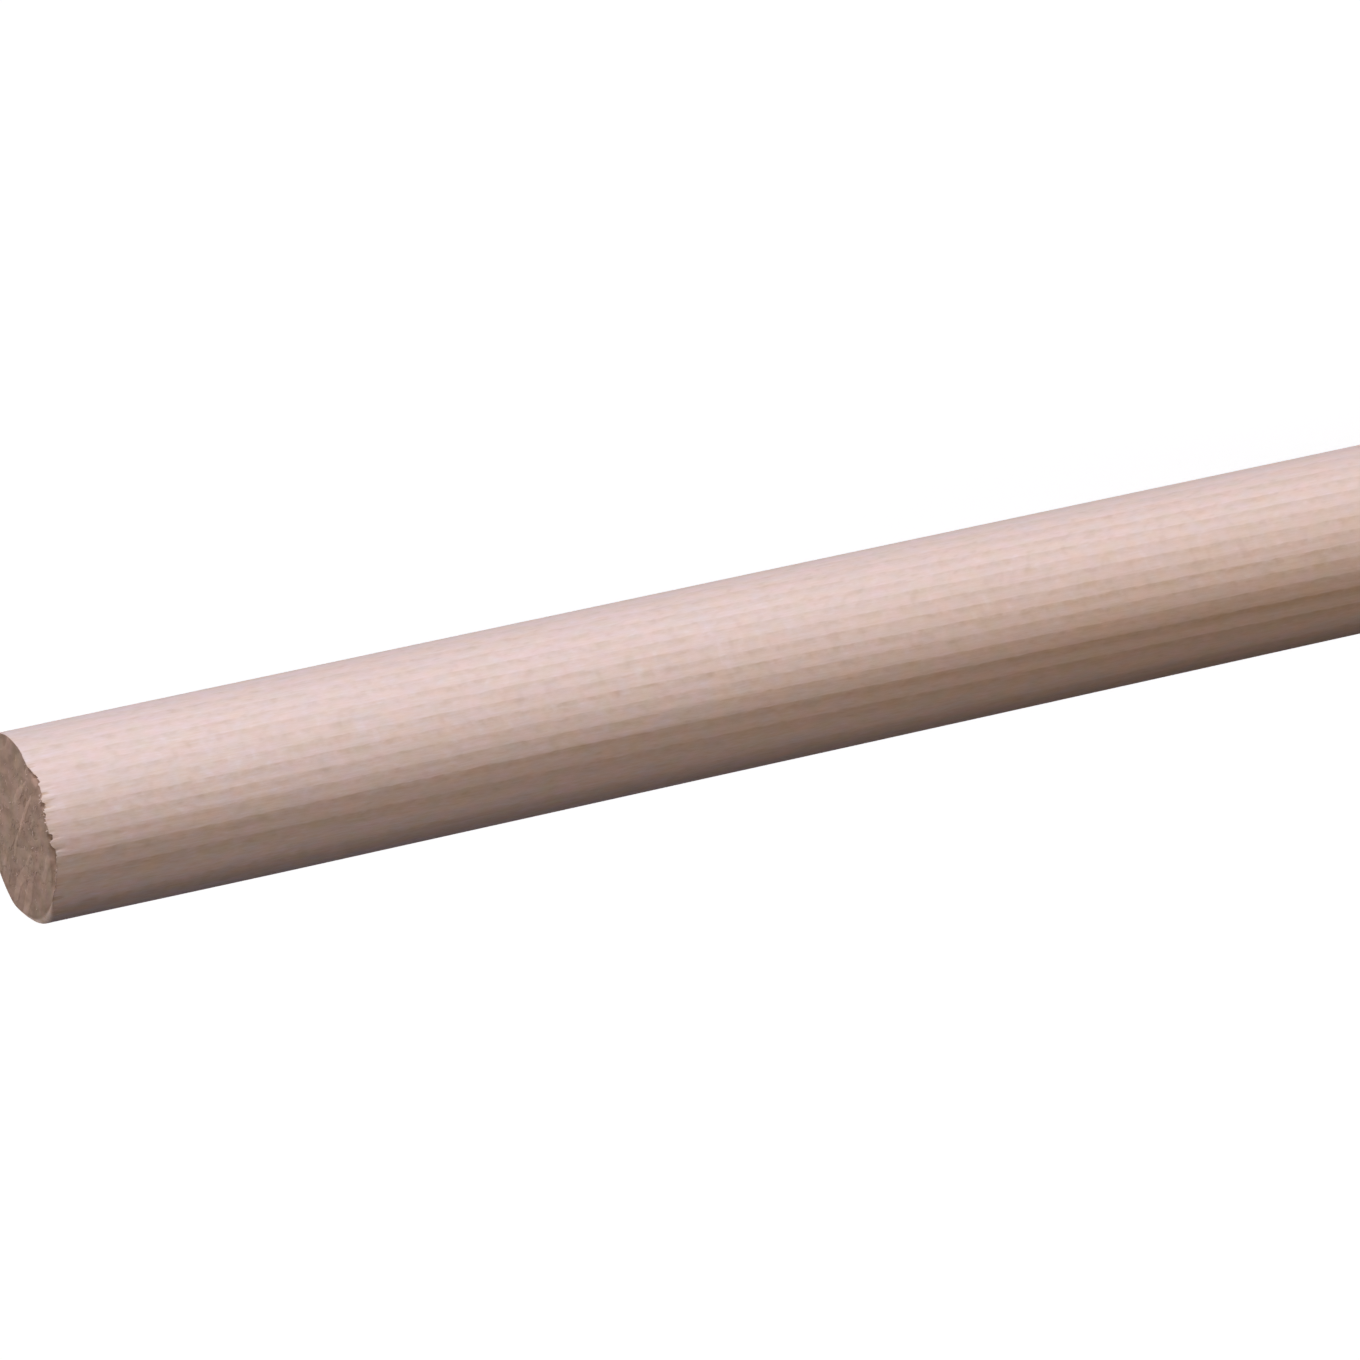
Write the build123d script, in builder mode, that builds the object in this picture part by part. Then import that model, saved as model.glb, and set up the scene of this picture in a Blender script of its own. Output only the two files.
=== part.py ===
from build123d import *
import os

# Wooden dowel rod: one straight round rod of solid beech, sawn off square at both ends.
# Millimetres. The origin is the centre of the lower sawn end, and +Z runs up along the rod's axis.

# Stock size
rod_diameter = 25.0  # turned and sanded round
rod_length = 300.0  # from one sawn end to the other

# Rims, where each sawn end meets the round side
rim_radius = 0.5  # the sharp arris is blunted by handling

# The rod stands on its lower sawn end. Its whole section is one timber, with no core and no cap.
with BuildPart() as dowel_rod:
    with BuildSketch(Plane.XY) as round_section:
        Circle(rod_diameter / 2)
    extrude(amount=rod_length)
    sawn_rims = dowel_rod.edges().filter_by(GeomType.CIRCLE)
    fillet(sawn_rims, radius=rim_radius)
dowel_rod.part.label = "dowel_rod"

os.makedirs("parts", exist_ok=True)
export_step(dowel_rod.part, "parts/dowel_rod.step")
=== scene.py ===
import math

import bpy
from mathutils import Matrix, Vector


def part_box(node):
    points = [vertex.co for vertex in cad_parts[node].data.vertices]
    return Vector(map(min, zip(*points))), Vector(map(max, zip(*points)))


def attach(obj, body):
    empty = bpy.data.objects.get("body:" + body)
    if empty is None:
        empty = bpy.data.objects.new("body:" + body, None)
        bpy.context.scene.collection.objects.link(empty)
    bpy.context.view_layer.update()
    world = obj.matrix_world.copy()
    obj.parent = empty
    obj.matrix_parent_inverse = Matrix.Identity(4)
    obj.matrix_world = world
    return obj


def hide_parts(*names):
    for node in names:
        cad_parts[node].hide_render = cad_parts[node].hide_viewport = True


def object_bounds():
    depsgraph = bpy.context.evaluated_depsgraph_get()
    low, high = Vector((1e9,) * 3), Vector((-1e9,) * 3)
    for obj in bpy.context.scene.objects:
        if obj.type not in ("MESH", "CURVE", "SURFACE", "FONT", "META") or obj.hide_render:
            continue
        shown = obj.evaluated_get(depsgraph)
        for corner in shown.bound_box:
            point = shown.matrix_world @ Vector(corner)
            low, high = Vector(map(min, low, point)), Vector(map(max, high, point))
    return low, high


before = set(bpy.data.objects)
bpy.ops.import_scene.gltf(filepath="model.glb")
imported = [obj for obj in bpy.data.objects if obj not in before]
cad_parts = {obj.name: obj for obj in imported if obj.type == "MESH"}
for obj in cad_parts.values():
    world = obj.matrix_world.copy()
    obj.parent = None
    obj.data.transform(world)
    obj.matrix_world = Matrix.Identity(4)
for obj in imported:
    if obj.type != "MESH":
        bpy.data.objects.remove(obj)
cadLow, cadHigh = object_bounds()  # the CAD box, which the dressed rod stays inside
print("frame loaded:", sorted(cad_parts))

mm = 0.001


# node trees are written as sums: a Field is a node's output that adds and multiplies like a number

class Field:
    def __init__(self, socket):
        self.socket = socket
        self.tree = socket.id_data

    def calc(self, operation, *others):
        node = self.tree.nodes.new("ShaderNodeMath")
        node.operation = operation
        for target, value in zip(node.inputs, (self,) + others):
            plug(target, value)
        return Field(node.outputs[0])

    def __add__(self, other):
        return self.calc("ADD", other)

    def __sub__(self, other):
        return self.calc("SUBTRACT", other)

    def __mul__(self, other):
        return self.calc("MULTIPLY", other)

    def __rsub__(self, other):
        return self * -1.0 + other

    def __neg__(self):
        return self * -1.0

    def sine(self):
        return self.calc("SINE")

    def cosine(self):
        return self.calc("COSINE")


def plug(target, value):
    if isinstance(value, Field):
        value.tree.links.new(value.socket, target)
    else:
        target.default_value = value


def addNode(tree, kind, inputs=None, **settings):
    node = tree.nodes.new(kind)
    for name, value in settings.items():
        setattr(node, name, value)
    for name, value in (inputs or {}).items():
        plug(node.inputs[name], value)
    return node


def outputOf(tree, kind, inputs=None, name=0, **settings):
    return Field(addNode(tree, kind, inputs, **settings).outputs[name])


def vectorCalc(first, operation, second):
    return outputOf(first.tree, "ShaderNodeVectorMath", {0: first, 1: second}, operation=operation)


def vectorScale(vector, factor):
    return outputOf(vector.tree, "ShaderNodeVectorMath", {0: vector, "Scale": factor}, operation="SCALE")


def joinXYZ(tree, x, y, z):
    return outputOf(tree, "ShaderNodeCombineXYZ", {"X": x, "Y": y, "Z": z})


def splitXYZ(vector):
    return [Field(socket) for socket in addNode(vector.tree, "ShaderNodeSeparateXYZ", {0: vector}).outputs]


def ramp(value, fromLow, fromHigh, toLow=0.0, toHigh=1.0, kind="LINEAR"):
    # stays flat outside its range
    node = addNode(value.tree, "ShaderNodeMapRange", {0: value}, interpolation_type=kind)
    for name, end in zip(("From Min", "From Max", "To Min", "To Max"), (fromLow, fromHigh, toLow, toHigh)):
        plug(node.inputs[name], end)
    return Field(node.outputs["Result"])


def smoothRamp(value, fromLow, fromHigh, toLow=0.0, toHigh=1.0):
    return ramp(value, fromLow, fromHigh, toLow, toHigh, "SMOOTHSTEP")


def noise(place, scale, detail=2.0, roughness=0.5, stretch=(1.0, 1.0, 1.0)):
    # from 0 to 1, about a half; stretch is the pattern's frequency along each axis
    inputs = {"Vector": vectorCalc(place, "MULTIPLY", stretch), "Scale": scale, "Detail": detail,
              "Roughness": roughness}
    return outputOf(place.tree, "ShaderNodeTexNoise", inputs)


def newGeometryTree(name, sizes):
    # sizes holds (input name, socket type, value), and the tree shows each as a named input
    tree = bpy.data.node_groups.new(name, "GeometryNodeTree")
    tree.is_modifier = True
    tree.interface.new_socket("Geometry", in_out="OUTPUT", socket_type="NodeSocketGeometry")
    for label, kind, value in sizes:
        socket = tree.interface.new_socket(label, in_out="INPUT", socket_type=kind)
        if kind != "NodeSocketMaterial":
            socket.default_value = value
    groupInput = tree.nodes.new("NodeGroupInput")
    return tree, {label: Field(groupInput.outputs[label]) for label, _, _ in sizes}


def endTree(tree, geometry, material):
    real = outputOf(tree, "GeometryNodeRealizeInstances", {"Geometry": geometry})
    finished = outputOf(tree, "GeometryNodeSetMaterial", {"Geometry": real, "Material": material})
    plug(tree.nodes.new("NodeGroupOutput").inputs[0], finished)


def bakeTree(name, tree, sizes):
    # runs the tree on an empty mesh, keeps the result as a plain mesh and drops the modifier
    holder = bpy.data.objects.new(name + "Maker", bpy.data.meshes.new(name + "Maker"))
    bpy.context.scene.collection.objects.link(holder)
    modifier = holder.modifiers.new(name, "NODES")
    modifier.node_group = tree
    identifiers = {item.name: item.identifier for item in tree.interface.items_tree
                   if item.in_out == "INPUT"}
    for label, _, value in sizes:
        modifier[identifiers[label]] = value
    holder.update_tag()
    depsgraph = bpy.context.evaluated_depsgraph_get()
    mesh = bpy.data.meshes.new_from_object(holder.evaluated_get(depsgraph))
    mesh.name = name
    holder.modifiers.remove(modifier)
    bpy.data.objects.remove(holder)
    piece = bpy.data.objects.new(name, mesh)
    bpy.context.scene.collection.objects.link(piece)
    print(name, "has", sum(len(face.vertices) - 2 for face in mesh.polygons), "triangles")
    return piece


# the timber: where the heart of the tree lies from the rod, and how the growth rings run

timber = {
    "ringSpacing": 1.80,  # mm
    "ringPhase": 0.31,
    "heartDistance": 80.0,  # mm from the rod's axis
    "heartTurn": 206.0,  # degrees about Z, from +X towards +Y, at the top of the rod
    "heartSwing": 7.4,  # degrees, half of the angle that the heart swings round on its way down
    "swingLength": 115.0,  # mm down for each radian of that swing
    "wander": 0.22,  # mm, how far the rings stray, slowly
    "stepping": 0.12,  # mm, and quickly, from one fibre bundle to the next
    # these move the pale streaks and the cracks of the sawn ends, and the splits at the rims
    "streakPlace": 32.3,
    "crackPlace": 7.0,
    "splitPlace": 88.5,
    "splitReach": (-1.0, 4.0),  # mm from the end, least and most, before a split fades out
}


def ringField(place):
    # place in mm; rings counts growth rings outwards from the heart, distance is mm from it, around is
    # mm along a ring, and below is mm down from the top
    x, y, z = splitXYZ(place)
    below = cadHigh.z / mm - z
    swing = (1.0 - (below * (1.0 / timber["swingLength"])).cosine()) * math.radians(timber["heartSwing"])
    heartTurn = math.radians(timber["heartTurn"]) - swing
    dx = x - heartTurn.cosine() * timber["heartDistance"]
    dy = y - heartTurn.sine() * timber["heartDistance"]
    distance = (dx * dx + dy * dy).calc("SQRT")
    wander = (noise(place, 0.12, 2.0, 0.5, (1.0, 1.0, 0.10)) - 0.5) * (2.0 * timber["wander"])
    wander = wander + (noise(place, 0.7, 1.0, 0.5, (1.0, 1.0, 0.75)) - 0.5) * (2.0 * timber["stepping"])
    rings = (distance + wander) * (1.0 / timber["ringSpacing"]) + timber["ringPhase"]
    around = dy.calc("ARCTAN2", dx) * timber["heartDistance"]
    return rings, distance, around, below


def endPattern(place, distance, around):
    # what a saw leaves on the end grain, shared by the mesh and the colour: a few raised streaks and
    # cracks along the rings, with blotches and grit between
    tree = place.tree
    streak = noise(joinXYZ(tree, distance * 0.70, around * 0.11, timber["streakPlace"]), 1.0, 1.0, 0.4)
    streaks = smoothRamp(streak, 0.56, 0.65) * smoothRamp(noise(place, 0.15, 1.0), 0.38, 0.50)
    crack = noise(joinXYZ(tree, distance * 0.33, around * 0.13, timber["crackPlace"]), 1.0, 3.0, 0.55)
    cracks = smoothRamp((crack - 0.5).calc("ABSOLUTE"), 0.0, 0.014, 1.0, 0.0)
    cracks = cracks * smoothRamp(noise(place, 0.21, 1.0, 0.5, (1.0, 1.0, 0.5)), 0.46, 0.60)
    blotch = smoothRamp(noise(place, 0.62, 2.0, 0.5, (1.0, 0.45, 1.0)), 0.33, 0.67)
    grit = ramp(noise(place, 1.5, 2.0, 0.5, (1.0, 0.45, 1.0)), 0.3, 0.7)
    return streaks, cracks, blotch, grit


def splitPattern(place, below):
    # short splits that run down the side from the torn rim, and up from the foot; 1 in a split
    fromEnd = below.calc("MINIMUM", cadHigh.z / mm - below)
    least, most = timber["splitReach"]
    reach = noise(place, 0.9, 1.0, 0.5, (1.0, 1.0, 0.0)) * (most - least) + least
    moved = vectorCalc(place, "ADD", (timber["splitPlace"], 0.0, 0.0))
    line = noise(moved, 1.6, 2.0, 0.55, (1.0, 1.0, 0.05))
    return smoothRamp(line, 0.56, 0.66) * smoothRamp(fromEnd - reach, -0.8, 0.0, 1.0, 0.0)


# wood

wood = {
    "earlyWood": (0.785, 0.620, 0.564, 1.0),
    "earlyWoodBelow": (0.725, 0.532, 0.430, 1.0),  # towards the heart, further down the rod
    "outerTintAndEdgeShade": (0.98, 0.957, 0.948, 1.0),  # the rings furthest from the heart are a little pinker, and darker as painted shade along the grazing edge of that side
    "lateTint": (0.81, 0.765, 0.68, 1.0),  # the darkest ring line, as a share of the early wood
    "fleckTint": (0.86, 0.82, 0.78, 1.0),
    "splitTint": (0.84, 0.77, 0.67, 1.0),
    "rimShadeTint": (0.88, 0.86, 0.84, 1.0),  # painted shade: a darker band on the rounded rim
    "endPale": (0.566, 0.404, 0.316, 1.0),
    "endBrown": (0.258, 0.176, 0.130, 1.0),
    "ruddyTint": (1.03, 0.975, 1.0, 1.0),  # broad redder patches on the sawn ends
    "patchRange": (0.14, 0.0, 0.20),  # how far the small patches change red, green and blue
    "toneRange": (0.49, 0.94, 1.55),  # and how far fibres and pores do: darker grain is yellower too
    "ringSeed": 274.0,  # decides which ring lines are strong
    "ringDarkens": (0.22, 0.82),  # between these shares of a ring's width
    "ringPales": (0.90, 1.0),
    "weakestRing": 0.58,  # strength of the faintest ring line, as a share of the strongest
    "fleckStrength": 0.34,
    # how far these pale or darken the sawn ends, from 0 to 1
    "endStreaks": 0.30,
    "endBlotches": 0.30,
    "endGrit": 0.15,
    "endCracks": 0.42,
    "endLevel": 0.11,  # how pale they are between
    "roughness": 0.62,
    "specular": 0.008,
    "bumpStrength": 0.25,
    "bumpDepth": 0.05,  # mm
}


def newMaterial(name):
    material = bpy.data.materials.new(name)
    material.use_nodes = True
    material.node_tree.nodes.clear()
    return material, material.node_tree


def mixColour(factor, first, second, blend="MIX"):
    # 0, 6 and 7 are the factor and the two colours, and output 2 is the colour
    return outputOf(factor.tree, "ShaderNodeMix", {0: factor, 6: first, 7: second}, 2, data_type="RGBA",
                    blend_type=blend)


def beechMaterial():
    material, tree = newMaterial("beechWood")
    place = vectorScale(outputOf(tree, "ShaderNodeTexCoord", name="Object"), 1.0 / mm)
    rings, distance, around, below = ringField(place)

    # the rod spans 67.5 to 92.5 mm from the heart; the wood is browner near it, and further down
    browner = smoothRamp(below, 30.0, 180.0) * ramp(distance, 72.0, 84.0, 1.0, 0.25)
    colour = mixColour(browner, wood["earlyWood"], wood["earlyWoodBelow"])
    # partly painted shade: darkens the side facing away from the heart, out to its grazing edge, along with
    # a pinker tint
    colour = mixColour(ramp(distance, 83.5, 87.5), colour, wood["outerTintAndEdgeShade"], "MULTIPLY")

    # growth rings: pale, slowly darker, then quickly back to the next pale start, broken along the rod
    share = rings.calc("FRACT")
    ringNumber = rings.calc("FLOOR") + wood["ringSeed"]
    chance = outputOf(tree, "ShaderNodeTexWhiteNoise", {"W": ringNumber}, noise_dimensions="1D")
    late = smoothRamp(share, *wood["ringDarkens"]) * smoothRamp(share, *wood["ringPales"], 1.0, 0.0)
    # the lines are stronger towards the heart and further down, but the innermost fade below the top; the
    # extra strength towards the heart is partly painted shade, in place of the relief shade of the rings on
    # the side the light grazes
    ringLineDepthAndShade = ramp(distance, 73.0, 88.0, 0.84, 0.3) * ramp(below, 0.0, 180.0, 0.80, 1.22)
    ringLineDepthAndShade = ringLineDepthAndShade * ramp(distance, 67.5, 70.5, ramp(below, 15.0, 70.0, 1.0, 0.50), 1.0)
    gaps = ramp(noise(place, 0.8, 2.0, 0.6, (1.0, 1.0, 0.62)), 0.36, 0.64, -0.75, 0.45)
    broken = gaps * ramp(distance, 71.0, 78.0, 0.4, 1.0) * ramp(below, 0.0, 180.0, 1.0, 0.74) + 0.95
    lateShare = late * ringLineDepthAndShade * ramp(chance, 0.0, 1.0, wood["weakestRing"], 1.0) * broken
    colour = mixColour(lateShare, colour, wood["lateTint"], "MULTIPLY")

    # rays: thin upright sheets that point at the heart, so the round side cuts them into flecks that
    # cross the rings on the two radial faces, and into short dashes elsewhere
    rays = noise(joinXYZ(tree, around * 2.6, distance * 0.30, below * 0.58), 1.0, 1.0)
    fleck = ramp(rays, 0.58, 0.76, 0.0, wood["fleckStrength"])
    colour = mixColour(fleck, colour, wood["fleckTint"], "MULTIPLY")

    # fibres, pores and broad drifts of tone
    fibres = noise(place, 3.2, 3.0, 0.6, (1.0, 1.0, 0.035))
    pores = noise(place, 4.2, 2.0, 0.6, (1.0, 1.0, 0.16))
    drift = noise(place, 0.07, 2.0, 0.5, (1.0, 1.0, 0.25))
    tone = ramp(fibres, 0.25, 0.75, 0.965, 1.035) * ramp(pores, 0.25, 0.75, 0.95, 1.05)
    tone = tone * ramp(drift, 0.25, 0.75, 0.975, 1.02) * ramp(rays, 0.25, 0.75, 1.018, 0.982)
    # painted glints: small pale strokes where the rays are weakest
    tone = tone * ramp(rays, 0.27, 0.38, 1.04, 1.0)
    # stronger towards the heart and near the top
    tone = (tone - 1.0) * ramp(distance, 68.0, 86.0, 1.28, 0.87) * ramp(below, 30.0, 150.0, 1.05, 0.80)
    tones = joinXYZ(tree, *[tone * part + 1.0 for part in wood["toneRange"]])
    colour = vectorCalc(colour, "MULTIPLY", tones)
    colour = mixColour(splitPattern(place, below), colour, wood["splitTint"], "MULTIPLY")

    # small patches a shade pinker or yellower than the rest
    patches = outputOf(tree, "ShaderNodeTexNoise", {
        "Vector": vectorCalc(place, "MULTIPLY", (1.0, 1.0, 0.75)), "Scale": 0.48, "Detail": 1.0}, "Color")
    patches = vectorCalc(vectorCalc(patches, "SUBTRACT", (0.5, 0.5, 0.5)), "MULTIPLY", wood["patchRange"])
    patches = vectorScale(patches, ramp(distance, 68.0, 78.0, 1.65, 1.0))

    # sawn ends: browner, blotched, with pale streaks and dark cracks
    onEnd = outputOf(tree, "ShaderNodeAttribute", name="Fac", attribute_name="sawnEnd")
    streaks, cracks, blotch, grit = endPattern(place, distance, around)
    endTone = blotch * wood["endBlotches"] + grit * wood["endGrit"] + streaks * wood["endStreaks"]
    endTone = endTone - cracks * wood["endCracks"] + wood["endLevel"]
    endColour = mixColour(endTone, wood["endBrown"], wood["endPale"])
    ruddy = smoothRamp(noise(place, 0.20, 1.0), 0.40, 0.60)
    endColour = mixColour(ruddy, endColour, wood["ruddyTint"], "MULTIPLY")
    darkerSide = ramp(splitXYZ(place)[0], -11.0, 3.0, 0.86, 1.0)
    endColour = vectorScale(endColour, darkerSide)
    # painted shade: the rounded rims are darkened
    colour = mixColour(smoothRamp(onEnd, 0.05, 0.4), colour, wood["rimShadeTint"], "MULTIPLY")
    colour = mixColour(smoothRamp(onEnd, 0.84, 1.0), colour, endColour)
    colour = vectorCalc(colour, "MULTIPLY", vectorCalc(patches, "ADD", (1.0, 1.0, 1.0)))

    # relief too fine for the mesh, and a rougher surface on the sawn ends
    fineFibres = noise(place, 9.0, 2.0, 0.6, (1.0, 1.0, 0.05))
    fuzz = noise(place, 6.0, 4.0, 0.7)
    height = fineFibres - fleck * 0.4 + onEnd * (fuzz - fineFibres)
    bump = outputOf(tree, "ShaderNodeBump", {
        "Strength": wood["bumpStrength"], "Distance": wood["bumpDepth"] * mm, "Height": height})
    roughness = fibres * 0.16 + onEnd * 0.22 + (wood["roughness"] - 0.08)
    shader = addNode(tree, "ShaderNodeBsdfPrincipled", {
        "Base Color": colour, "Roughness": roughness, "Specular IOR Level": wood["specular"],
        "Normal": bump})
    addNode(tree, "ShaderNodeOutputMaterial", {"Surface": Field(shader.outputs[0])})
    return material


beech = beechMaterial()
print("beech material made")


# the rod: one skin over the round side, both rims and both sawn ends

rod = {
    "around": 480,  # facets round the rod
    "footRings": 24,
    "sideRows": 92,
    "rimRows": 9,
    "endRings": 56,
    "rimRadius": 0.12,  # mm
    "wornRadius": 1.4,  # mm, where the upper rim has been knocked round
    "wornTurn": 178.5,  # degrees about Z
    "wornTaper": 0.125,  # mm, how much thinner that side is at the top
    "taperLength": 36.0,  # mm
    "sawDepth": 0.34,  # mm, a little more than the sawn face lies below the tips of the torn fibres
    "sawMiddle": 0.65,  # share of that depth on the axis
    "sawTilt": 0.15,  # share by which the cut, a little off square, rises or falls at the rim
    "highTurn": 300.0,  # degrees about Z, where the cut comes highest
    "breakTurn": 272.0,  # degrees about Z, where the saw came out and tore the rim
    "tearWidth": 0.55,  # mm in from the side that fibres are torn or pulled
    "tearReach": 3.0,  # mm from the end, likewise
    "tearPull": 0.03,  # mm inwards where they broke
    # where bundles of fibres broke away: turn and half width in degrees, share of the depth
    "chips": ((298.8, 6.2, 0.52), (297.5, 2.8, 0.60), (288.5, 3.2, 0.36), (280.3, 1.6, 0.50),
              (261.4, 1.8, 0.80), (250.0, 6.5, 0.50), (241.0, 13.0, 0.66)),
    "chipDepth": 0.58,  # mm
    "chipWidth": (0.2, 1.1),  # mm in from the side, where a chip starts to fade and where it ends
    "reliefDepth": 0.09,  # mm on the sawn faces
    "fibreRelief": 0.03,  # mm on the side
    "splitDepth": 0.08,  # mm
    "crowding": 0.93,  # how much closer the side's rows stand at the rims, from 0 to 1
    "weld": 1e-7,  # m, closes the seam and the poles
}


def wornRim(turn, wornTurn):
    # 1 in the middle of the worn stretch, 0 away from it
    return smoothRamp((turn - wornTurn).cosine(), 0.72, 1.0)


def breakOut(turn, breakTurn):
    # 1 where the saw tore the rim, 0 on the side where it went in
    return smoothRamp((turn - breakTurn).cosine(), 0.55, 0.94)


def cutDepth(turn, share, given):
    # from the full length down to the sawn face; share is 0 on the axis and 1 at the rim
    tilt = (turn - given["High Turn"]).cosine() * share * rod["sawTilt"]
    return given["Saw Depth"] * (rod["sawMiddle"] - tilt)


def chipDepth(turn, given):
    # how much deeper the upper rim is where bundles of fibres broke away with the waste
    total = turn * 0.0
    for chipTurn, halfWidth, share in rod["chips"]:
        near = (turn - math.radians(chipTurn)).cosine()
        outer, inner = math.cos(math.radians(halfWidth * 1.4)), math.cos(math.radians(halfWidth * 0.6))
        total = total + smoothRamp(near, outer, inner) * share
    return total * given["Chip Depth"]


def rodTree(sizes):
    tree, given = newGeometryTree("sawnRod", sizes)
    radius, length, rimRadius = given["Radius"], given["Length"], given["Rim Radius"]
    footRings, rimRows = given["Foot Rings"], given["Rim Rows"]
    sideRows, endRings = given["Side Rows"], given["End Rings"]

    # a grid whose columns go round the rod, and whose rows run from the middle of the foot, up the
    # side, to the middle of the top end
    rowsAll = footRings + rimRows * 2.0 + sideRows + endRings
    grid = outputOf(tree, "GeometryNodeMeshGrid", {
        "Size X": 1.0, "Size Y": 1.0, "Vertices X": given["Around"] + 1.0, "Vertices Y": rowsAll + 1.0})
    column, row, _ = splitXYZ(outputOf(tree, "GeometryNodeInputPosition"))
    turn = (column + 0.5) * (2.0 * math.pi)
    row = (row + 0.5) * rowsAll
    sideStart = footRings + rimRows
    sideEnd = sideStart + sideRows
    foot = ramp(row, 0.0, footRings)
    footArc = ramp(row, footRings, sideStart) * (math.pi / 2)
    side = ramp(row, sideStart, sideEnd)
    topArc = ramp(row, sideEnd, sideEnd + rimRows) * (math.pi / 2)
    top = ramp(row, sideEnd + rimRows, rowsAll)

    # the clean form, with one worn stretch of the upper rim
    worn = wornRim(turn, given["Worn Turn"])
    topRim = rimRadius + worn * (given["Worn Radius"] - rimRadius)
    outAt = (radius - rimRadius) * foot + rimRadius * footArc.sine()
    outAt = outAt - topRim * (1.0 - topArc.cosine()) - (radius - topRim) * top
    sideEased = side - (side * (2.0 * math.pi)).sine() * (rod["crowding"] / (2.0 * math.pi))
    upAt = rimRadius * (1.0 - footArc.cosine()) + (length - rimRadius - topRim) * sideEased
    upAt = upAt + topRim * topArc.sine()
    cosTurn, sinTurn = turn.cosine(), turn.sine()
    place = joinXYZ(tree, outAt * cosTurn, outAt * sinTurn, upAt)
    faceUp = topArc.sine() - footArc.cosine()  # -1 on the foot, 0 on the side, 1 on the top
    onEnd = faceUp.calc("ABSOLUTE")
    endSign = (upAt - length * 0.5).calc("SIGN")

    placeMm = vectorScale(place, 1.0 / mm)
    _, distance, around, below = ringField(placeMm)
    fromEnd = upAt.calc("MINIMUM", length - upAt)
    fromSide = radius - outAt

    # torn fibres stand above the sawn face, or break off below it, where the saw came out
    torn = breakOut(turn, given["Break Turn"]) * (1.0 - worn)
    bite = noise(placeMm, 0.55, 2.0, 0.5, (1.0, 1.0, 0.06))
    tooth = noise(placeMm, 2.1, 2.0, 0.6, (1.0, 1.0, 0.03))
    lift = ramp(bite * 0.55 + tooth * 0.45, 0.40, 0.58, -1.2, 1.0) * torn
    nearEnd = ramp(fromEnd, 0.0, rod["tearReach"] * mm, 1.0, 0.0)
    nearSide = smoothRamp(fromSide, 0.0, rod["tearWidth"] * mm, 1.0, 0.0)
    nearRim = nearEnd * nearSide
    down = nearRim * (1.0 - lift) + (1.0 - nearSide)
    down = down * cutDepth(turn, outAt.calc("DIVIDE", radius), given)
    fades, ends = rod["chipWidth"]
    atChip = nearEnd * smoothRamp(fromSide, fades * mm, ends * mm, 1.0, 0.0)
    down = down + chipDepth(turn, given) * atChip * endSign.calc("GREATER_THAN", 0.0)

    # relief of the sawn faces
    streaks, cracks, blotch, grit = endPattern(placeMm, distance, around)
    hollow = cracks * 0.55 - streaks * 0.50 - blotch * 0.30 - grit * 0.10
    down = down + (hollow + 0.9) * given["Relief Depth"] * smoothRamp(fromSide, 0.0, 0.8 * mm)

    # relief of the side: raised fibres along the rod, pulled in a little where the rim is broken, with
    # the splits, and worn thinner below the worn stretch
    strands = noise(placeMm, 1.1, 3.0, 0.6, (1.0, 1.0, 0.03))
    inward = ramp(strands, 0.25, 0.75) * given["Fibre Relief"] * (1.0 - onEnd)
    inward = inward + (1.0 - lift) * nearRim * torn * (rod["tearPull"] * mm)
    inward = inward + splitPattern(placeMm, below) * given["Split Depth"] * (1.0 - onEnd)
    tapered = smoothRamp(length - upAt, 0.0, given["Taper Length"], 1.0, 0.0) * (1.0 - onEnd)
    tapered = tapered * smoothRamp((turn - given["Worn Turn"]).cosine(), 0.0, 1.0)
    inward = inward + tapered * given["Worn Taper"]
    move = joinXYZ(tree, -inward * cosTurn, -inward * sinTurn, -down * endSign)

    # the mark is stored first, because the sums above read the grid before it is moved
    marked = outputOf(tree, "GeometryNodeStoreNamedAttribute", {
        "Geometry": grid, "Name": "sawnEnd", "Value": onEnd}, data_type="FLOAT", domain="POINT")
    shaped = outputOf(tree, "GeometryNodeSetPosition", {
        "Geometry": marked, "Position": vectorCalc(place, "ADD", move)})
    closed = outputOf(tree, "GeometryNodeMergeByDistance", {"Geometry": shaped, "Distance": rod["weld"]})
    smooth = outputOf(tree, "GeometryNodeSetShadeSmooth", {"Geometry": closed})
    endTree(tree, smooth, given["Wood"])
    return tree


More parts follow.
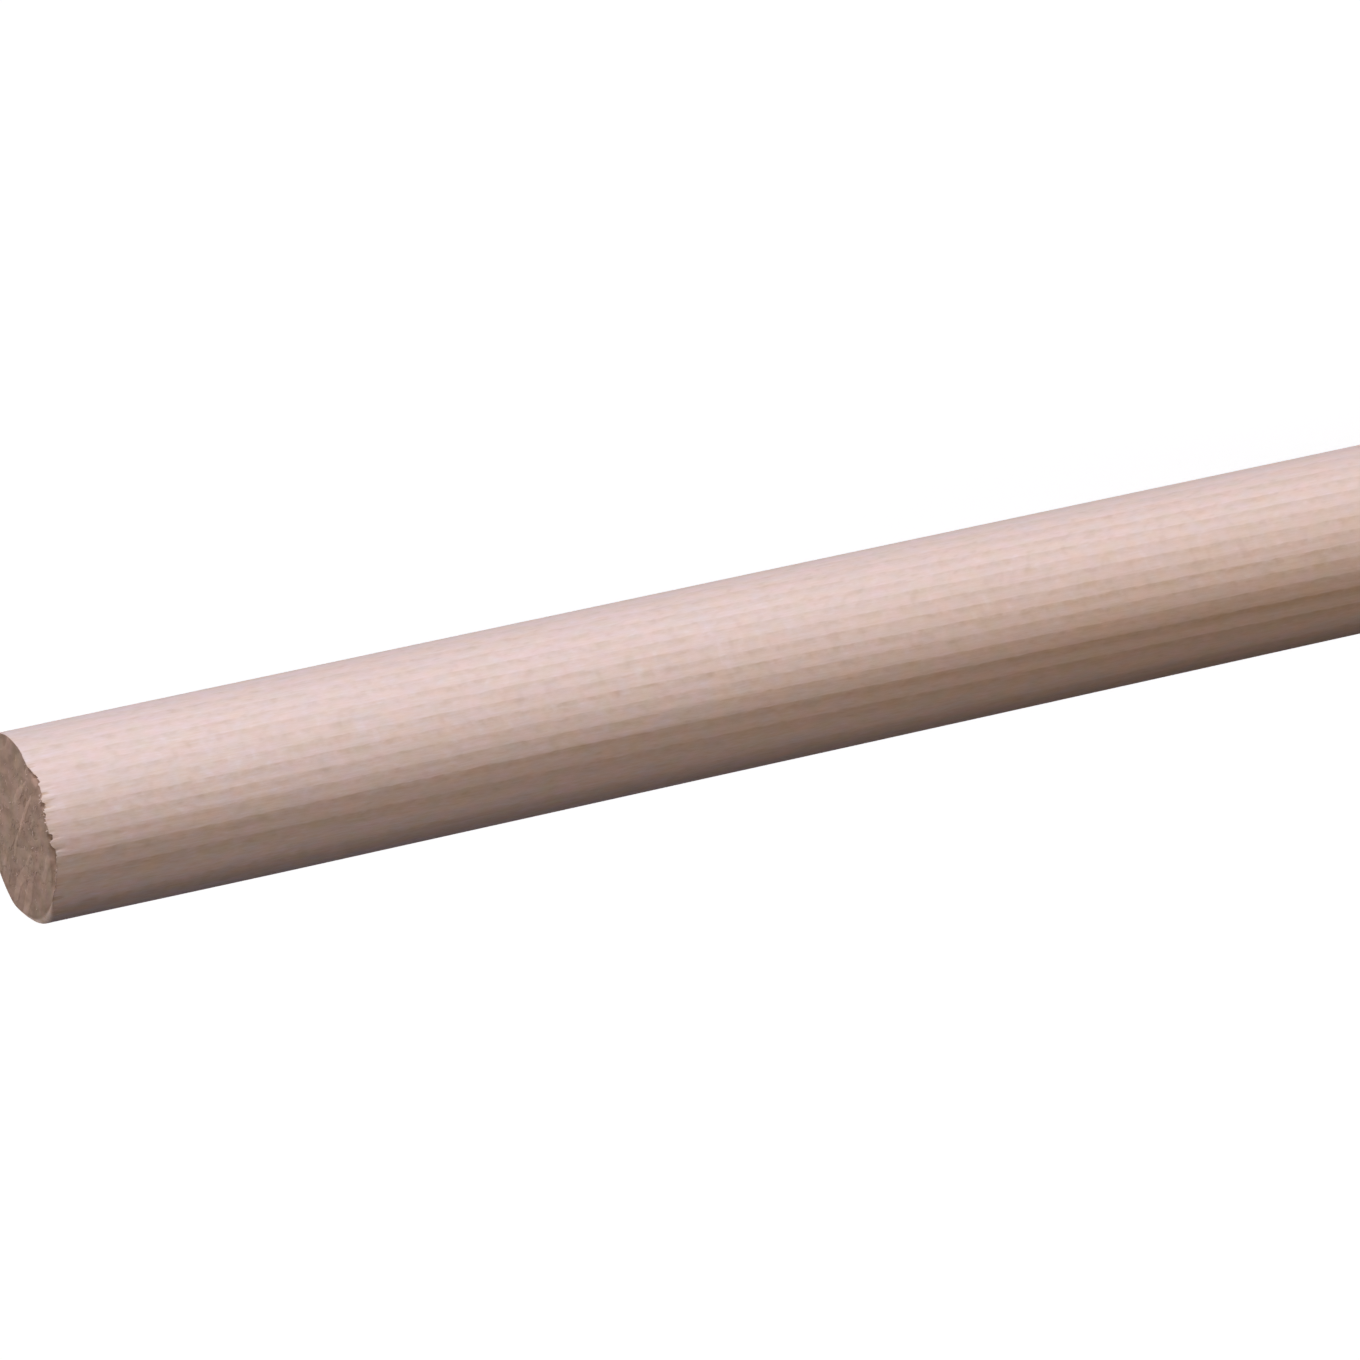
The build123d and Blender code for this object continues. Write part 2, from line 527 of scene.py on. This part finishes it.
def makeRod():
    _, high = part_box("dowel_rod")
    sizes = [
        ("Radius", "NodeSocketFloat", high.y),
        ("Length", "NodeSocketFloat", high.z),
        ("Around", "NodeSocketInt", rod["around"]),
        ("Foot Rings", "NodeSocketInt", rod["footRings"]),
        ("Side Rows", "NodeSocketInt", rod["sideRows"]),
        ("Rim Rows", "NodeSocketInt", rod["rimRows"]),
        ("End Rings", "NodeSocketInt", rod["endRings"]),
        ("Rim Radius", "NodeSocketFloat", rod["rimRadius"] * mm),
        ("Worn Radius", "NodeSocketFloat", rod["wornRadius"] * mm),
        ("Worn Turn", "NodeSocketFloat", math.radians(rod["wornTurn"])),
        ("Worn Taper", "NodeSocketFloat", rod["wornTaper"] * mm),
        ("Taper Length", "NodeSocketFloat", rod["taperLength"] * mm),
        ("Saw Depth", "NodeSocketFloat", rod["sawDepth"] * mm),
        ("High Turn", "NodeSocketFloat", math.radians(rod["highTurn"])),
        ("Break Turn", "NodeSocketFloat", math.radians(rod["breakTurn"])),
        ("Chip Depth", "NodeSocketFloat", rod["chipDepth"] * mm),
        ("Relief Depth", "NodeSocketFloat", rod["reliefDepth"] * mm),
        ("Fibre Relief", "NodeSocketFloat", rod["fibreRelief"] * mm),
        ("Split Depth", "NodeSocketFloat", rod["splitDepth"] * mm),
        ("Wood", "NodeSocketMaterial", beech),
    ]
    piece = bakeTree("dowelRod", rodTree(sizes), sizes)
    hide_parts("dowel_rod")
    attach(piece, "root")
    return piece


dowelRod = makeRod()


# torn fibres: fine slivers left standing round the broken rims and lying on the sawn faces

slivers = {
    "rimCount": 170,  # round each end, most of them dropped where the saw went in clean
    "faceCount": 150,  # on each end
    "width": 0.075,  # mm, half of the sliver's foot
    "rimRise": (0.35, 0.76),  # share of the way back up to the full length
    "rimLean": 0.80,  # mm inwards at the tip, at most
    "rimSway": 0.3,  # mm sideways at the tip, at most
    "rimInset": (0.10, 0.45),  # mm in from the side
    "rimSink": 0.04,  # mm that the foot is sunk into the wood
    "faceLength": (0.35, 1.0),  # mm
    "faceInset": 1.8,  # mm in from the side, at least
    "faceRise": (0.05, 0.11),  # mm at the tip
    "faceSink": 0.10,  # mm
    "bow": 0.9,
    "seed": 11,
}


def randomValue(tree, low, high, seed):
    node = addNode(tree, "FunctionNodeRandomValue", data_type="FLOAT")
    for socket in node.inputs:
        if socket.enabled and socket.name in {"Min", "Max", "Seed"}:
            plug(socket, {"Min": low, "Max": high, "Seed": seed}[socket.name])
    return Field([socket for socket in node.outputs if socket.enabled][0])


def sliverShape(tree):
    # one unit tall and one unit thick at its foot, three-sided, tapered and bowed
    cone = outputOf(tree, "GeometryNodeMeshCone", {
        "Vertices": 3, "Side Segments": 3, "Radius Top": 0.15, "Radius Bottom": 1.0, "Depth": 1.0},
        fill_type="TRIANGLE_FAN")
    x, y, z = splitXYZ(outputOf(tree, "GeometryNodeInputPosition"))
    bowed = joinXYZ(tree, x + z * z * slivers["bow"], y, z)
    return outputOf(tree, "GeometryNodeSetPosition", {"Geometry": cone, "Position": bowed})


def placeSlivers(tree, count, foot, lean, keep, width, shape):
    # one sliver stands at each foot and points along lean, which gives its length too
    points = outputOf(tree, "GeometryNodePoints", {"Count": count, "Position": foot})
    turned = outputOf(tree, "FunctionNodeAlignRotationToVector", {"Vector": lean}, axis="Z")
    tall = outputOf(tree, "ShaderNodeVectorMath", {0: lean}, "Value", operation="LENGTH")
    return outputOf(tree, "GeometryNodeInstanceOnPoints", {
        "Points": points, "Selection": keep.calc("GREATER_THAN", 0.5), "Instance": shape,
        "Rotation": turned, "Scale": joinXYZ(tree, width, width, tall)})


def sliverTree(sizes):
    tree, given = newGeometryTree("tornFibres", sizes)
    radius, length = given["Radius"], given["Length"]
    width, seed = given["Width"], given["Seed"]
    sway = slivers["rimSway"] * mm
    leastIn, mostIn = [inset * mm for inset in slivers["rimInset"]]
    leastRise, mostRise = [rise * mm for rise in slivers["faceRise"]]
    shape = sliverShape(tree)
    joined = addNode(tree, "GeometryNodeJoinGeometry")
    for up in (1.0, -1.0):
        end = length * (0.5 + 0.5 * up)
        seed = seed + 20

        # round the rim
        turn = randomValue(tree, 0.0, 2.0 * math.pi, seed)
        rise = randomValue(tree, given["Rise Low"], given["Rise High"], seed + 1)
        inwards = randomValue(tree, 0.0, given["Lean"], seed + 2)
        sideways = randomValue(tree, -sway, sway, seed + 3)
        outAt = radius - randomValue(tree, leastIn, mostIn, seed + 4)
        cosTurn, sinTurn = turn.cosine(), turn.sine()
        cut = cutDepth(turn, outAt.calc("DIVIDE", radius), given) + slivers["rimSink"] * mm
        rise = rise * cut
        if up > 0.0:
            cut = cut + chipDepth(turn, given)
        foot = joinXYZ(tree, outAt * cosTurn, outAt * sinTurn, end - cut * up)
        lean = joinXYZ(tree, -inwards * cosTurn - sideways * sinTurn, sideways * cosTurn - inwards * sinTurn,
                       rise * up)
        torn = breakOut(turn, given["Break Turn"]) * (1.0 - wornRim(turn, given["Worn Turn"]))
        keep = torn.calc("GREATER_THAN", randomValue(tree, 0.15, 1.6, seed + 5))
        plug(joined.inputs[0], placeSlivers(tree, given["Rim Count"], foot, lean, keep, width, shape))

        # on the face, nearly flat, most along the rings
        turn = randomValue(tree, 0.0, 2.0 * math.pi, seed + 6)
        outAt = randomValue(tree, 0.0, 1.0, seed + 7).calc("SQRT") * (radius - slivers["faceInset"] * mm)
        reach = randomValue(tree, given["Face Length Low"], given["Face Length High"], seed + 8)
        heading = randomValue(tree, -0.5, 0.5, seed + 9) + math.radians(timber["heartTurn"] + 90.0)
        cut = cutDepth(turn, outAt.calc("DIVIDE", radius), given) + slivers["faceSink"] * mm
        foot = joinXYZ(tree, outAt * turn.cosine(), outAt * turn.sine(), end - cut * up)
        rise = randomValue(tree, leastRise, mostRise, seed + 10) * up
        lean = joinXYZ(tree, reach * heading.cosine(), reach * heading.sine(), rise)
        keep = randomValue(tree, 0.6, 1.0, seed + 11)
        plug(joined.inputs[0], placeSlivers(tree, given["Face Count"], foot, lean, keep, width, shape))
    endTree(tree, Field(joined.outputs[0]), given["Wood"])
    return tree


def makeSlivers():
    _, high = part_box("dowel_rod")
    sizes = [
        ("Radius", "NodeSocketFloat", high.y),
        ("Length", "NodeSocketFloat", high.z),
        ("Saw Depth", "NodeSocketFloat", rod["sawDepth"] * mm),
        ("High Turn", "NodeSocketFloat", math.radians(rod["highTurn"])),
        ("Break Turn", "NodeSocketFloat", math.radians(rod["breakTurn"])),
        ("Worn Turn", "NodeSocketFloat", math.radians(rod["wornTurn"])),
        ("Chip Depth", "NodeSocketFloat", rod["chipDepth"] * mm),
        ("Rim Count", "NodeSocketInt", slivers["rimCount"]),
        ("Face Count", "NodeSocketInt", slivers["faceCount"]),
        ("Width", "NodeSocketFloat", slivers["width"] * mm),
        ("Rise Low", "NodeSocketFloat", slivers["rimRise"][0]),
        ("Rise High", "NodeSocketFloat", slivers["rimRise"][1]),
        ("Lean", "NodeSocketFloat", slivers["rimLean"] * mm),
        ("Face Length Low", "NodeSocketFloat", slivers["faceLength"][0] * mm),
        ("Face Length High", "NodeSocketFloat", slivers["faceLength"][1] * mm),
        ("Seed", "NodeSocketInt", slivers["seed"]),
        ("Wood", "NodeSocketMaterial", beech),
    ]
    piece = bakeTree("tornFibres", sliverTree(sizes), sizes)
    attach(piece, "root")
    return piece


tornFibres = makeSlivers()


# studio

studio = {
    "floorSize": 12.0,  # m
    "floorColour": 0.80,
    "floorBounce": 0.02,  # how pale the floor is to the light that falls back on the rod
    "floorGlow": 0.50,  # what the floor shows the camera on top of its own light
    "ambient": 0.005,
    "lampDistance": 2.0,  # m
    "lamps": {
        # name: (turn about Z, height, level, width, colour), with the angles in degrees
        "keyLight": (-27.2, 12.0, 0.88, 12.0, (0.905, 0.960, 1.082)),
        "fillLight": (-91.0, 18.0, 0.40, 12.0, (1.015, 0.880, 0.765)),
        "edgeLight": (180.0, 18.0, 0.025, 12.0, (0.10, 0.26, 1.0)),
        "overheadLight": (0.0, 90.0, 0.20, 8.0, (1.0, 0.97, 0.94)),
        "backLight": (98.0, 15.0, 0.70, 14.0, (1.0, 0.97, 0.94)),
    },
}


def addLamp(name, turn, height, level, width, colour):
    # a level of 1 shows a white sheet that faces the lamp as white
    lamp = bpy.data.lights.new(name, "SUN")
    lamp.energy = math.pi * level
    lamp.angle = math.radians(width)
    lamp.color = colour
    holder = bpy.data.objects.new(name, lamp)
    a, e = math.radians(turn), math.radians(height)
    towards = Vector((math.cos(a) * math.cos(e), math.sin(a) * math.cos(e), math.sin(e)))
    holder.rotation_mode = "QUATERNION"
    holder.rotation_quaternion = towards.to_track_quat("Z", "Y")
    holder.location = towards * studio["lampDistance"]
    bpy.context.scene.collection.objects.link(holder)


def seenDirectly(tree):
    # 1 for what the camera sees, or sees through glass or in a mirror
    seen = tree.nodes.new("ShaderNodeLightPath").outputs
    mirrored = Field(seen["Is Glossy Ray"]).calc("MAXIMUM", Field(seen["Is Transmission Ray"]))
    return Field(seen["Is Camera Ray"]).calc("MAXIMUM", mirrored)


def makeFloor():
    half = studio["floorSize"] / 2
    mesh = bpy.data.meshes.new("studioFloor")
    corners = [(-half, -half, 0.0), (half, -half, 0.0), (half, half, 0.0), (-half, half, 0.0)]
    mesh.from_pydata(corners, [], [(0, 1, 2, 3)])
    material, tree = newMaterial("floorPaper")
    seen = seenDirectly(tree)
    tone = ramp(seen, 0.0, 1.0, studio["floorBounce"], studio["floorColour"])
    paper = outputOf(tree, "ShaderNodeBsdfDiffuse", {"Color": joinXYZ(tree, tone, tone, tone)})
    glow = outputOf(tree, "ShaderNodeEmission", {"Strength": seen * studio["floorGlow"]})
    both = outputOf(tree, "ShaderNodeAddShader", {0: paper, 1: glow})
    addNode(tree, "ShaderNodeOutputMaterial", {"Surface": both})
    mesh.materials.append(material)
    floor = bpy.data.objects.new("studioFloor", mesh)
    bpy.context.scene.collection.objects.link(floor)


def makeWorld():
    world = bpy.data.worlds.new("studioWorld")
    world.use_nodes = True
    tree = world.node_tree
    tree.nodes.clear()
    strength = ramp(seenDirectly(tree), 0.0, 1.0, studio["ambient"], 1.0)
    sky = outputOf(tree, "ShaderNodeBackground", {"Color": (1.0, 1.0, 1.0, 1.0), "Strength": strength})
    addNode(tree, "ShaderNodeOutputWorld", {"Surface": sky})
    bpy.context.scene.world = world


makeFloor()
makeWorld()
for lampName, setting in studio["lamps"].items():
    addLamp(lampName, *setting)
print("studio made")


# camera: the sawn top end points left and towards it

view = {
    "lens": 216.2,  # mm
    "sensor": 36.0,  # mm
    "clip": (0.01, 50.0),  # m
    "elevation": 22.10,  # degrees above the rod's foot plane
    "roll": -102.2,  # degrees, turns the upright rod to lie across the picture
    "distance": 1.0650,  # m
    "aimBelowTop": 0.09265,  # m
    "aimSide": 0.0008,  # m
}


def makeCamera():
    camera = bpy.data.cameras.new("studioCamera")
    camera.sensor_width = view["sensor"]
    camera.lens = view["lens"]
    camera.clip_start, camera.clip_end = view["clip"]
    holder = bpy.data.objects.new("studioCamera", camera)
    e, roll = math.radians(view["elevation"]), math.radians(view["roll"])
    back = Vector((0.0, -math.cos(e), math.sin(e)))
    right, up = Vector((1.0, 0.0, 0.0)), Vector((0.0, math.sin(e), math.cos(e)))
    turnedRight = right * math.cos(roll) + up * math.sin(roll)
    turnedUp = up * math.cos(roll) - right * math.sin(roll)
    aim = Vector((view["aimSide"], 0.0, cadHigh.z - view["aimBelowTop"]))
    matrix = Matrix((turnedRight, turnedUp, back)).transposed().to_4x4()
    matrix.translation = aim + back * view["distance"]
    holder.matrix_world = matrix
    bpy.context.scene.collection.objects.link(holder)
    bpy.context.scene.camera = holder


makeCamera()
bpy.context.scene.view_settings.view_transform = "Standard"
print("camera set")
